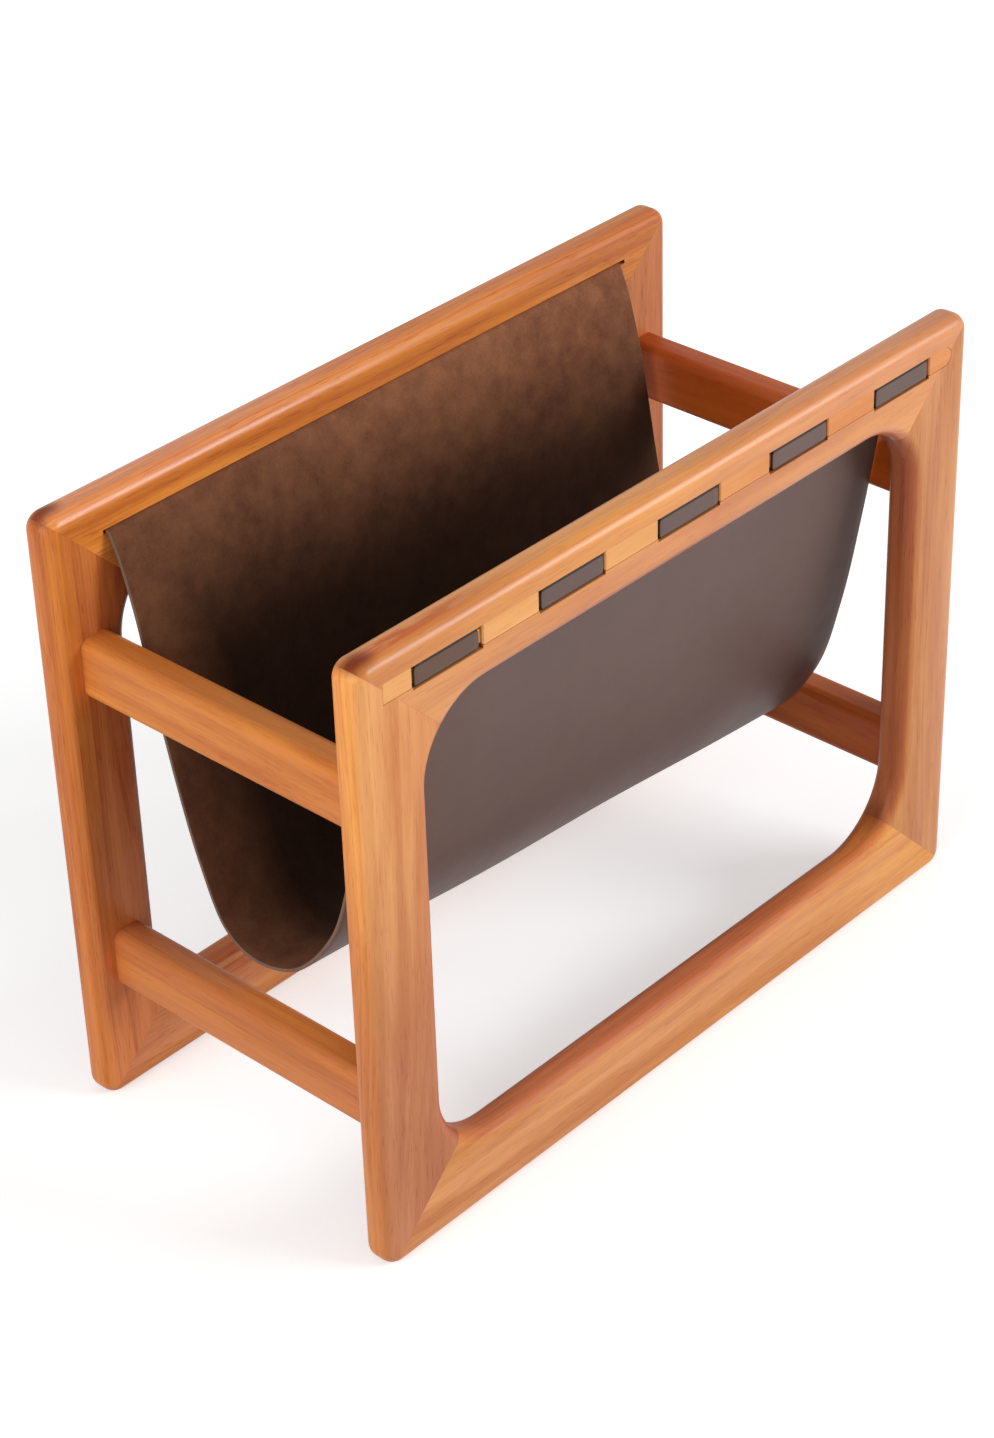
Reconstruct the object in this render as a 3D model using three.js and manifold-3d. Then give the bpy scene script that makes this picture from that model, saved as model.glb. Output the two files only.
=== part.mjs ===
// A free-standing magazine rack: two mitred hardwood frames joined by four cross rails, with one
// leather sling hung between the top rails. Millimetres, +Z up, X along the rack, Y across it.
// The origin is on the floor, under the middle of the rack.
import * as THREE from 'three';
import { mergeVertices } from 'three/addons/utils/BufferGeometryUtils.js';
import Module from 'manifold-3d';

const wasm = await Module();
wasm.setup();

// Driving dimensions of the rack
const rackLength = 470;
const rackDepth = 230;
const rackHeight = 360;

// Frame members, sawn from one thickness of board
const boardThickness = 20;
const memberWidth = 44.5;
const outerCornerRadius = 10;
const openingCornerRadius = 42;
const edgeRadius = 7.5;
const leastFlat = 1;

// Cross rails, measured from the ends, the top and the floor
const crossRailWidth = 20;
const crossRailHeight = 35;
const crossRailEdgeRadius = 6;
const crossRailInset = 13.5;
const upperRailDrop = 72.5;
const lowerRailRise = 70.5;

// Clearances
const fitGap = 0.3;
const overrun = 4;

// Hidden joints
const tongueSize = 18;
const tongueThickness = 4;
const tongueInset = 2.5;
const dowelRadius = 4;
const dowelChamfer = 0.8;
const dowelCover = 8;
const dowelInRail = 18;
const dowelEdgeDistance = 9;

// Groove in the outer face of each top rail, and the slit behind it
const slitDrop = 20;
const grooveHeight = 12.8;
const grooveDepth = 10;
const grooveEndSetback = 16.5;
const slitEndGap = 1.5;

// Leather sling
const leatherThickness = 2;
const slingEndGap = 3.5;
const leftSlingDrop = 224;
const rightSlingDrop = 258.5;
const mouthBendRadius = 4;
const tabCount = 5;
const tabWidth = 46;
const tabBendRadius = 1.8;
const tabSideGap = 0.9;
const tabLap = 4;

// The hang of the sling between its two slits, far side first: across as a share of the half
// gap between the frames, down as a share of the drop
const hangShares = [
  [0.9, 0.095],
  [0.82, 0.245],
  [0.7, 0.49],
  [0.5, 0.77],
  [0.32, 0.945],
  [0.08, 1],
  [-0.19, 0.975],
  [-0.55, 0.785],
  [-0.66, 0.63],
  [-0.79, 0.37],
  [-0.89, 0.1],
];

// Fineness of the curves
const cornerSegments = 7;
const edgeSegments = 4;
const dowelSides = 12;
const bendSteps = 4;
const hangSteps = 40;

// Sizes that follow from the ones above
const slitHeight = leatherThickness + 2 * fitGap;
const grooveWall = boardThickness - grooveDepth;
const halfGap = rackDepth / 2 - boardThickness;
const frameFlat = Math.max(boardThickness - 2 * edgeRadius, leastFlat);
const frameEdge = (boardThickness - frameFlat) / 2;
const frameCorner = Math.max(outerCornerRadius, frameEdge + leastFlat);
const crossRailX = rackLength / 2 - crossRailInset - crossRailWidth / 2;
const crossRailLength = 2 * (halfGap - fitGap);
const upperRailZ = rackHeight - upperRailDrop - crossRailHeight / 2;
const lowerRailZ = lowerRailRise + crossRailHeight / 2;
const dowelInStile = boardThickness - dowelCover;
const dowelOffset = crossRailHeight / 2 - dowelEdgeDistance;
const slitZ = rackHeight - slitDrop;
const slingWidth = 2 * (crossRailX - crossRailWidth / 2 - slingEndGap);
const tabPitch = (slingWidth - tabWidth) / (tabCount - 1);

// Finishes
const teak = { color: 0xc98a58, roughness: 0.45, metalness: 0 };
const paleTeak = { color: 0xe0a468, roughness: 0.5, metalness: 0 };
const beech = { color: 0xd9b98c, roughness: 0.7, metalness: 0 };
const leather = { color: 0x6e5b54, roughness: 0.6, metalness: 0 };

const rack = new THREE.Group();
rack.name = 'magazine_rack';

// A closed geometry as a solid that can be joined and cut
function solid(geometry) {
  const bare = geometry.clone();
  bare.deleteAttribute('normal');
  bare.deleteAttribute('uv');
  const merged = mergeVertices(bare);
  return new wasm.Manifold(new wasm.Mesh({
    numProp: 3,
    vertProperties: new Float32Array(merged.attributes.position.array),
    triVerts: new Uint32Array(merged.index.array),
  }));
}

// The geometry of a solid, with flat shading
function geometryOf(shape) {
  const mesh = shape.getMesh();
  const geometry = new THREE.BufferGeometry();
  geometry.setAttribute('position', new THREE.BufferAttribute(mesh.vertProperties, 3));
  geometry.setIndex(new THREE.BufferAttribute(mesh.triVerts, 1));
  const flat = geometry.toNonIndexed();
  flat.computeVertexNormals();
  return flat;
}

// One finished piece, in its own named mesh
function addPiece(parent, name, geometry, finish) {
  const mesh = new THREE.Mesh(geometry, new THREE.MeshStandardMaterial(finish));
  mesh.name = name;
  parent.add(mesh);
  return mesh;
}

// A rectangle with round corners, centred on x and y
function roundedRectangle(Outline, width, height, radius, x, y) {
  const right = width / 2;
  const top = height / 2;
  const corner = Math.min(radius, right, top);
  const quarter = Math.PI / 2;
  const outline = new Outline();
  outline.moveTo(x - right + corner, y - top);
  outline.absarc(x + right - corner, y - top + corner, corner, -quarter, 0);
  outline.absarc(x + right - corner, y + top - corner, corner, 0, quarter);
  outline.absarc(x - right + corner, y + top - corner, corner, quarter, 2 * quarter);
  outline.absarc(x - right + corner, y - top + corner, corner, 2 * quarter, 3 * quarter);
  return outline;
}

function polygon(points) {
  return new THREE.Shape(points.map(([x, y]) => new THREE.Vector2(x, y)));
}

// An outline drawn in X and Z, as a prism from one Y to a larger one
function prismAlongY(outline, fromY, toY, options = {}) {
  const geometry = new THREE.ExtrudeGeometry(outline, {
    depth: toY - fromY, bevelEnabled: false, curveSegments: cornerSegments, ...options,
  });
  geometry.rotateX(Math.PI / 2);
  return geometry.translate(0, toY, 0);
}

// An outline drawn in Y and Z, as a prism from one X to a larger one
function prismAlongX(outline, fromX, toX) {
  const geometry = new THREE.ExtrudeGeometry(outline, {
    depth: toX - fromX, bevelEnabled: false, curveSegments: cornerSegments,
  });
  const across = new THREE.Vector3(0, 1, 0);
  const up = new THREE.Vector3(0, 0, 1);
  const along = new THREE.Vector3(1, 0, 0);
  geometry.applyMatrix4(new THREE.Matrix4().makeBasis(across, up, along));
  return geometry.translate(fromX, 0, 0);
}

function block(fromX, toX, fromY, toY, fromZ, toZ) {
  const geometry = new THREE.BoxGeometry(toX - fromX, toY - fromY, toZ - fromZ);
  return geometry.translate((fromX + toX) / 2, (fromY + toY) / 2, (fromZ + toZ) / 2);
}

// A frame is drawn with its outer face at Y zero and its inner face at the board's thickness.

// Groove and batten share this outline: square at the left end, round at the right end
function grooveOutline(gap) {
  const left = -rackLength / 2 + grooveEndSetback + gap;
  const right = rackLength / 2 - grooveEndSetback - gap;
  const half = grooveHeight / 2 - gap;
  const outline = new THREE.Shape();
  outline.moveTo(left, slitZ - half);
  outline.lineTo(right - half, slitZ - half);
  outline.absarc(right - half, slitZ, half, -Math.PI / 2, Math.PI / 2);
  outline.lineTo(left, slitZ + half);
  return outline;
}

// A square tongue lies across each mitre, behind the groove, with one corner pointing along X
function tongueGeometry(cornerX, cornerZ, gap) {
  const side = tongueSize + 2 * gap;
  const thickness = tongueThickness + 2 * gap;
  const setback = memberWidth - tongueInset;
  const geometry = new THREE.BoxGeometry(side, thickness, side);
  geometry.rotateY(Math.PI / 4);
  const x = cornerX * (rackLength / 2 - setback);
  const z = rackHeight / 2 + cornerZ * (rackHeight / 2 - setback);
  return geometry.translate(x, grooveDepth + grooveWall / 2, z);
}

// Turned dowel or its hole, along Y from one depth to another
function dowelGeometry(x, z, fromY, toY, gap, chamfer) {
  const radius = dowelRadius + gap;
  const profile = [
    [0, fromY], [radius - chamfer, fromY], [radius, fromY + chamfer],
    [radius, toY - chamfer], [radius - chamfer, toY], [0, toY],
  ];
  const points = profile.map(([r, y]) => new THREE.Vector2(r, y));
  return new THREE.LatheGeometry(points, dowelSides).translate(x, 0, z);
}

// The two dowels at each end of each cross rail
const dowelPlaces = [];
for (const [side, sideName] of [[-1, 'left'], [1, 'right']]) {
  for (const [railZ, level] of [[upperRailZ, 'upper'], [lowerRailZ, 'lower']]) {
    for (const [up, place] of [[1, 'top'], [-1, 'bottom']]) {
      dowelPlaces.push({
        x: side * crossRailX, z: railZ + up * dowelOffset, name: `${sideName}_${level}`, place,
      });
    }
  }
}

// The mitre wedge that holds one member: a trapezium between two 45 degree mitre lines, which run
// in from the frame's outer corners and stand back by half the gap between the members
function mitreWedge(side) {
  const reach = memberWidth + openingCornerRadius + overrun;
  const slip = fitGap * Math.SQRT1_2;
  const x = rackLength / 2 + overrun;
  const top = rackHeight + overrun;
  const bottom = -overrun;
  const wedges = {
    top: [[slip - x, top], [x - slip, top], [x - slip - reach, top - reach],
      [slip - x + reach, top - reach]],
    bottom: [[slip - x, bottom], [x - slip, bottom], [x - slip - reach, bottom + reach],
      [slip - x + reach, bottom + reach]],
    left: [[-x, top - slip], [-x, bottom + slip], [reach - x, bottom + slip + reach],
      [reach - x, top - slip - reach]],
    right: [[x, top - slip], [x, bottom + slip], [x - reach, bottom + slip + reach],
      [x - reach, top - slip - reach]],
  };
  return prismAlongY(polygon(wedges[side]), -overrun, boardThickness + overrun);
}

// The whole frame as one ring, rounded over on every edge, before the mitres are cut
function frameRing() {
  const outline = roundedRectangle(
    THREE.Shape, rackLength, rackHeight, frameCorner, 0, rackHeight / 2);
  outline.holes.push(roundedRectangle(
    THREE.Path, rackLength - 2 * memberWidth, rackHeight - 2 * memberWidth,
    openingCornerRadius, 0, rackHeight / 2));
  return solid(prismAlongY(outline, frameEdge, boardThickness - frameEdge, {
    bevelEnabled: true, bevelThickness: frameEdge, bevelSize: frameEdge,
    bevelOffset: -frameEdge, bevelSegments: edgeSegments,
  }));
}

// Ring with its groove, slit, tongue slots and dowel holes
function machinedRing() {
  const slitHalf = slingWidth / 2 + slitEndGap;
  const cuts = [
    prismAlongY(grooveOutline(0), -overrun, grooveDepth),
    block(-slitHalf, slitHalf, grooveDepth - overrun, boardThickness + overrun,
      slitZ - slitHeight / 2, slitZ + slitHeight / 2),
  ];
  for (const cornerX of [-1, 1]) {
    for (const cornerZ of [-1, 1]) {
      cuts.push(tongueGeometry(cornerX, cornerZ, fitGap));
    }
  }
  const holeFloor = boardThickness - dowelInStile - fitGap;
  for (const { x, z } of dowelPlaces) {
    cuts.push(dowelGeometry(x, z, holeFloor, boardThickness + overrun, fitGap, 0));
  }
  return cuts.reduce((ring, cut) => ring.subtract(solid(cut)), frameRing());
}

// Batten: fills the groove between the tabs, and is cut down to a core where a tab wraps it
function battenGeometry() {
  const backY = grooveDepth - fitGap;
  const wrap = fitGap + leatherThickness + fitGap;
  const coreHalf = grooveHeight / 2 - wrap;
  const coreFront = leatherThickness + fitGap;
  const coreBack = grooveDepth - wrap;
  const tabReach = tabWidth / 2 + tabSideGap;
  let batten = solid(prismAlongY(grooveOutline(fitGap), 0, backY));
  for (let tab = 0; tab < tabCount; tab += 1) {
    const x = (tab - (tabCount - 1) / 2) * tabPitch;
    batten = batten.subtract(solid(block(
      x - tabReach, x + tabReach, -overrun, grooveDepth + overrun,
      slitZ - grooveHeight, slitZ + grooveHeight)));
  }
  const coreEnd = slingWidth / 2 + tabSideGap + fitGap;
  const core = block(-coreEnd, coreEnd, coreFront, coreBack, slitZ - coreHalf, slitZ + coreHalf);
  return geometryOf(batten.add(solid(core)));
}

// One frame: four members, four tongues and the batten
function buildFrame(names) {
  const frame = new THREE.Group();
  const ring = machinedRing();
  for (const [side, part] of [['top', 'top_rail'], ['bottom', 'bottom_rail'],
    ['left', `${names.left}_stile`], ['right', `${names.right}_stile`]]) {
    const member = ring.intersect(solid(mitreWedge(side)));
    addPiece(frame, `${names.frame}_${part}`, geometryOf(member), teak);
  }
  for (const [cornerX, sideName] of [[-1, names.left], [1, names.right]]) {
    for (const [cornerZ, level] of [[1, 'top'], [-1, 'bottom']]) {
      const tongue = tongueGeometry(cornerX, cornerZ, 0);
      addPiece(frame, `${names.frame}_${level}_${sideName}_tongue`, tongue, beech);
    }
  }
  addPiece(frame, `${names.frame}_batten`, battenGeometry(), paleTeak);
  return frame;
}

const nearFrame = buildFrame({ frame: 'near', left: 'left', right: 'right' });
nearFrame.position.y = -rackDepth / 2;
rack.add(nearFrame);

// The far frame is the same frame turned half round, so that its left end is on the rack's right
const farFrame = buildFrame({ frame: 'far', left: 'right', right: 'left' });
farFrame.position.y = rackDepth / 2;
farFrame.rotation.z = Math.PI;
rack.add(farFrame);

// Cross rails, butted between the inner faces of the stiles
function crossRailGeometry(side, railZ) {
  const edge = Math.min(crossRailEdgeRadius, (crossRailWidth - leastFlat) / 2);
  const outline = roundedRectangle(
    THREE.Shape, crossRailWidth, crossRailHeight, edge, side * crossRailX, railZ);
  let rail = solid(prismAlongY(outline, -crossRailLength / 2, crossRailLength / 2));
  const holeFloor = halfGap - dowelInRail - fitGap;
  const holeMouth = halfGap + overrun;
  for (const up of [-1, 1]) {
    const x = side * crossRailX;
    const z = railZ + up * dowelOffset;
    rail = rail.subtract(solid(dowelGeometry(x, z, holeFloor, holeMouth, fitGap, 0)));
    rail = rail.subtract(solid(dowelGeometry(x, z, -holeMouth, -holeFloor, fitGap, 0)));
  }
  return geometryOf(rail);
}

for (const [side, sideName] of [[-1, 'left'], [1, 'right']]) {
  for (const [railZ, level] of [[upperRailZ, 'upper'], [lowerRailZ, 'lower']]) {
    addPiece(rack, `${sideName}_${level}_cross_rail`, crossRailGeometry(side, railZ), teak);
  }
}

for (const { x, z, name, place } of dowelPlaces) {
  const inner = halfGap - dowelInRail;
  const outer = halfGap + dowelInStile;
  addPiece(rack, `${name}_near_${place}_dowel`,
    dowelGeometry(x, z, -outer, -inner, 0, dowelChamfer), beech);
  addPiece(rack, `${name}_far_${place}_dowel`,
    dowelGeometry(x, z, inner, outer, 0, dowelChamfer), beech);
}

// Middle line of the leather in Y and Z at one end of the sling: out of the far slit, round its
// lower lip, down and up along the hang, round the near lip and into the near slit
function slingLine(drop) {
  const slitEnd = halfGap + grooveWall - fitGap;
  const hang = hangShares.map(([across, down]) => [across * halfGap, slitZ - down * drop]);
  const lip = (side, turn) => [
    side * (halfGap - mouthBendRadius * Math.sin(turn)),
    slitZ - mouthBendRadius * (1 - Math.cos(turn)),
  ];
  const [firstY, firstZ] = hang[0];
  const steepness = Math.atan2(slitZ - firstZ, halfGap - firstY);
  const farLip = [];
  const nearLip = [];
  for (let step = 0; step <= bendSteps; step += 1) {
    farLip.push(lip(1, steepness * step / bendSteps));
    nearLip.unshift(lip(-1, steepness * step / bendSteps));
  }
  const controls = [farLip[bendSteps], ...hang, nearLip[0]];
  const curve = new THREE.CatmullRomCurve3(
    controls.map(([y, z]) => new THREE.Vector3(0, y, z)), false, 'centripetal');
  const middle = curve.getSpacedPoints(hangSteps).map((point) => [point.y, point.z]);
  return [[slitEnd, slitZ], ...farLip, ...middle.slice(1, -1), ...nearLip, [-slitEnd, slitZ]];
}

// The line moved to one side by a distance, square to its own direction
function offsetLine(line, distance) {
  return line.map(([y, z], index) => {
    const [backY, backZ] = line[Math.max(index - 1, 0)];
    const [nextY, nextZ] = line[Math.min(index + 1, line.length - 1)];
    const length = Math.hypot(nextY - backY, nextZ - backZ);
    return [y - distance * (nextZ - backZ) / length, z + distance * (nextY - backY) / length];
  });
}

// The sling's body: the leather's section at the left end, carried straight to the right end
function slingBody() {
  const ends = [[-slingWidth / 2, leftSlingDrop], [slingWidth / 2, rightSlingDrop]];
  const sections = ends.map(([x, drop]) => {
    const line = slingLine(drop);
    const inner = offsetLine(line, -leatherThickness / 2);
    const outer = offsetLine(line, leatherThickness / 2);
    return { x, inner, outer };
  });
  const count = sections[0].inner.length;
  const positions = [];
  for (const { x, inner, outer } of sections) {
    for (const [y, z] of [...inner, ...outer]) positions.push(x, y, z);
  }
  const at = (section, layer, index) => (section * 2 + layer) * count + index;
  const index = [];
  const quad = (a, b, c, d) => index.push(a, b, c, a, c, d);
  for (let step = 0; step < count - 1; step += 1) {
    quad(at(0, 0, step), at(0, 0, step + 1), at(1, 0, step + 1), at(1, 0, step));
    quad(at(0, 1, step + 1), at(0, 1, step), at(1, 1, step), at(1, 1, step + 1));
    quad(at(0, 1, step), at(0, 1, step + 1), at(0, 0, step + 1), at(0, 0, step));
    quad(at(1, 0, step), at(1, 0, step + 1), at(1, 1, step + 1), at(1, 1, step));
  }
  quad(at(0, 0, 0), at(1, 0, 0), at(1, 1, 0), at(0, 1, 0));
  quad(at(1, 0, count - 1), at(0, 0, count - 1), at(0, 1, count - 1), at(1, 1, count - 1));
  const geometry = new THREE.BufferGeometry();
  geometry.setAttribute('position', new THREE.Float32BufferAttribute(positions, 3));
  geometry.setIndex(index);
  return solid(geometry);
}

// Middle line of one tab: out of the slit, down behind the batten's core, under it, up its
// front and back over its top
function tabLine() {
  const backY = grooveDepth - fitGap - leatherThickness / 2;
  const frontY = leatherThickness / 2;
  const half = grooveHeight / 2 - fitGap - leatherThickness / 2;
  const corners = [
    [grooveDepth + tabLap, slitZ], [backY, slitZ], [backY, slitZ - half], [frontY, slitZ - half],
    [frontY, slitZ + half], [grooveDepth / 2, slitZ + half],
  ].map(([y, z]) => new THREE.Vector2(y, z));
  const line = [corners[0]];
  for (let index = 1; index < corners.length - 1; index += 1) {
    const before = corners[index - 1].clone().sub(corners[index]).setLength(tabBendRadius);
    const after = corners[index + 1].clone().sub(corners[index]).setLength(tabBendRadius);
    const centre = corners[index].clone().add(before).add(after);
    for (let step = 0; step <= bendSteps; step += 1) {
      const turn = Math.PI / 2 * step / bendSteps;
      const point = centre.clone().addScaledVector(after, -Math.cos(turn));
      line.push(point.addScaledVector(before, -Math.sin(turn)));
    }
  }
  line.push(corners[corners.length - 1]);
  return line.map(({ x, y }) => [x, y]);
}

function slingGeometry() {
  const line = tabLine();
  const front = offsetLine(line, leatherThickness / 2);
  const back = offsetLine(line, -leatherThickness / 2);
  const outline = [...front, ...back.reverse()];
  let sling = slingBody();
  for (const side of [-1, 1]) {
    const placed = outline.map(([y, z]) => [side * (rackDepth / 2 - y), z]);
    for (let tab = 0; tab < tabCount; tab += 1) {
      const x = (tab - (tabCount - 1) / 2) * tabPitch;
      sling = sling.add(solid(prismAlongX(polygon(placed), x - tabWidth / 2, x + tabWidth / 2)));
    }
  }
  return geometryOf(sling);
}

addPiece(rack, 'leather_sling', slingGeometry(), leather);

export default rack;
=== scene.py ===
"""Looks of a free-standing magazine rack: two mitred teak frames, four cross rails and a sling.

Every piece is built in metres around the rack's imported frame. +Z is up, X runs along the rack and Y
across it, and the origin is on the floor under its middle.
"""

import functools
import math

import bpy
import numpy as np
from mathutils import Euler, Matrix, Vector


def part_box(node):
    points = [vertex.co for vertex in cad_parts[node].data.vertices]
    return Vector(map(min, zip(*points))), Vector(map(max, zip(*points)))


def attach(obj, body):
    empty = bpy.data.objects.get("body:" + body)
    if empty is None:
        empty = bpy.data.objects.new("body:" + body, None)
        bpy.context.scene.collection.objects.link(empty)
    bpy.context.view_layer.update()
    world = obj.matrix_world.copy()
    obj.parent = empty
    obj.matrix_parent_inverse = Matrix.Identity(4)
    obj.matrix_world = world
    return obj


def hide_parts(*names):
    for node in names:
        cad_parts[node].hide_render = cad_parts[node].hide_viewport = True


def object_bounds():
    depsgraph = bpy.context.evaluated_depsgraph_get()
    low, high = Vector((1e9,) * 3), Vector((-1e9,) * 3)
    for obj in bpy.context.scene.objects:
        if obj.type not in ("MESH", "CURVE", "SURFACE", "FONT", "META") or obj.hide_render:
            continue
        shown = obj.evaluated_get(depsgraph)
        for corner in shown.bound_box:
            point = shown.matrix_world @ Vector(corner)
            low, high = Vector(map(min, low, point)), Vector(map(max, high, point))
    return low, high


bl_info = {
    "name": "Magazine rack",
    "version": (1, 0, 0),
    "blender": (4, 5, 0),
    "location": "View3D > Sidebar > Rack",
    "description": "Boards, battens, cross rails and leather sling of a magazine rack",
    "category": "Object",
}

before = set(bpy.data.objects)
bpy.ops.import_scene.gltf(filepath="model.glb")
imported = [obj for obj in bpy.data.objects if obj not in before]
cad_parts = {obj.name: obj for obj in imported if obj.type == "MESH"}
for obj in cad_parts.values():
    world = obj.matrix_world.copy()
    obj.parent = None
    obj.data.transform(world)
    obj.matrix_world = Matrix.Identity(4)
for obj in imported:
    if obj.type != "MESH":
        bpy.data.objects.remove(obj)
CAD_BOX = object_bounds()

BODY = "root"
MM = 0.001
QUARTER = math.pi / 2

ENDS = ("near", "far")
SIDES = ("top", "right", "bottom", "left")
OTHER_SIDE = {"left": "right", "right": "left"}
LEVELS = ("upper", "lower")
UP_DOWN = ("top", "bottom")


def node_size(node):
    """Width, depth and height of a node's box."""
    low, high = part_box(node)
    return high - low


def node_middle(node):
    """Middle of a node's box: half the sum of its corners."""
    low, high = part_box(node)
    return (low + high) / 2


def linear(red, green, blue):
    """A display colour, from 0 to 255, as the linear colour that a shader takes: each share s of
    it becomes ((s + 0.055) / 1.055) ^ 2.4, or s / 12.92 near black."""
    shares = [value / 255 for value in (red, green, blue)]
    return tuple(s / 12.92 if s <= 0.04045 else ((s + 0.055) / 1.055) ** 2.4 for s in shares)


# Sizes and finishes

def metres(name, description, default):
    """A length that a user would change."""
    return bpy.props.FloatProperty(
        name=name, description=description, default=default, unit="LENGTH", min=0)


def watts(name, description, default):
    """A light's power."""
    return bpy.props.FloatProperty(
        name=name, description=description, default=default, unit="POWER", min=0)


def paint(name, description, *display):
    """A colour, given as it is displayed."""
    return bpy.props.FloatVectorProperty(
        name=name, description=description, default=linear(*display), subtype="COLOR",
        size=3, min=0, max=1)


class RackSizes(bpy.types.PropertyGroup):
    """Sizes of the rack's pieces."""

    length: metres("Length", "Length of a frame", CAD_BOX[1].x - CAD_BOX[0].x)
    depth: metres("Depth", "Depth over both frames", CAD_BOX[1].y - CAD_BOX[0].y)
    height: metres("Height", "Height of a frame", CAD_BOX[1].z - CAD_BOX[0].z)
    board: metres("Board", "Thickness of the frame boards", node_size("near_bottom_rail").y)
    member: metres("Member", "Width of a frame member", 44.5 * MM)
    outer_corner: metres("Outer corner", "Radius of a frame's outer corners", 10 * MM)
    opening_corner: metres("Opening corner", "Radius of the opening's corners", 42 * MM)
    roundover: metres("Roundover", "Radius of the frame's long edges", 7.5 * MM)
    rail_edge: metres("Cross rail edge", "Radius of the cross rails' edges", 6 * MM)
    slit_drop: metres("Slit drop", "Groove and slit below the top", 20 * MM)
    groove_height: metres("Groove height", "Height of the batten's groove", 12.8 * MM)
    groove_depth: metres("Groove depth", "Depth of the batten's groove", 10 * MM)
    groove_setback: metres("Groove setback", "From groove end to frame end", 16.5 * MM)
    leather: metres("Leather", "Thickness of the leather", 2 * MM)
    sling_width: metres("Sling width", "Width of the leather", node_size("leather_sling").x)
    left_drop: metres("Left drop", "Hang of the sling's left end", 224.8 * MM)
    right_drop: metres("Right drop", "Hang of the sling's right end", 262 * MM)
    tab_width: metres("Tab width", "Width of a leather tab", 46 * MM)
    tab_gap: metres("Tab gap", "From a tab's side to the batten", 0.9 * MM)
    tabs: bpy.props.IntProperty(
        name="Tabs", description="Leather tabs along each top rail", default=5, min=2)


class RackFinishes(bpy.types.PropertyGroup):
    """Colours of the rack's finishes."""

    teak: paint("Teak", "Main tone of the oiled teak", 228, 150, 90)
    teak_gold: paint("Golden teak", "Golden stretches of the teak", 232, 152, 68)
    teak_dark: paint("Teak streaks", "Dark figure of the teak", 178, 90, 42)
    teak_heart: paint("Heart streak", "Red streak in the top rails", 192, 78, 14)
    batten: paint("Batten", "Pale wood of the battens", 248, 184, 114)
    batten_dark: paint("Batten streaks", "Dark figure of the battens", 224, 148, 84)
    beech: paint("Beech", "Raw wood of dowels and tongues", 214, 182, 140)
    beech_dark: paint("Beech streaks", "Dark figure of the beech", 190, 150, 108)
    leather: paint("Leather", "Smooth outer face of the leather", 106, 86, 81)
    suede: paint("Suede", "Raw inner face of the leather", 144, 95, 66)
    suede_dark: paint("Suede shade", "Darker nap of the inner face", 104, 64, 45)
    cut_edge: paint("Cut edge", "Cut edge of the leather", 124, 97, 80)
    floor: paint("Floor", "Floor under the rack", 200, 199, 198)


class RackLight(bpy.types.PropertyGroup):
    """Light of the stage."""

    dome: bpy.props.FloatProperty(
        name="Dome", description="Strength of the white room", default=0.42, min=0)
    window: watts("Window", "Power of the light in front", 38)
    fill: watts("Fill", "Power of the light from the left", 33)


def sizes():
    """The sizes that the pieces are built to."""
    return bpy.context.scene.rack_sizes


def finishes():
    """The colours that the materials are mixed from."""
    return bpy.context.scene.rack_finishes


# Places that follow from the sizes

FIT_GAP = 0.3 * MM
SHOWN_GAP = 0.12 * MM
GLUE_LINE = 0.05 * MM
SLIT_END_GAP = 1.5 * MM
FAR_SLIT_SHORT = 3 * MM
OVERRUN = 4 * MM


def slit_z():
    """Height of the slits: the frame's height less their drop."""
    return sizes().height - sizes().slit_drop


def half_gap():
    """Half the distance between the two frames' inner faces."""
    return sizes().depth / 2 - sizes().board


def tab_middles():
    """Middle of each tab along X: the outer two end flush with the leather's ends."""
    s = sizes()
    reach = (s.sling_width - s.tab_width) / 2
    return np.linspace(-reach, reach, s.tabs)


def placed(rings, end):
    """Points of a frame, drawn with its outer face at Y zero, at their end of the rack: the near
    frame moves to -Y, and the far frame is turned half round about Z first."""
    half = sizes().depth / 2
    if end == "near":
        return rings + np.array([0, -half, 0])
    return rings * np.array([-1, -1, 1]) + np.array([0, half, 0])


def board_node(end, side):
    """The node's name of a frame member, given its side as drawn."""
    if side in OTHER_SIDE:
        return f"{end}_{side if end == 'near' else OTHER_SIDE[side]}_stile"
    return f"{end}_{side}_rail"


# Surfaces

CORNER_STEPS = 14
EDGE_STEPS = 8
STRAIGHT_STEPS = 24
ROUND_STEPS = 24
SHARP = math.radians(32)
MOST_SOFTNESS = 0.9


def points(*axes):
    """Points from their coordinates, given as numbers or arrays that go together."""
    return np.stack(np.broadcast_arrays(*axes), axis=-1)


def add_object(name, data):
    """A new object in the scene, given its mesh, light or lens."""
    made = bpy.data.objects.new(name, data)
    bpy.context.scene.collection.objects.link(made)
    return made


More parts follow.
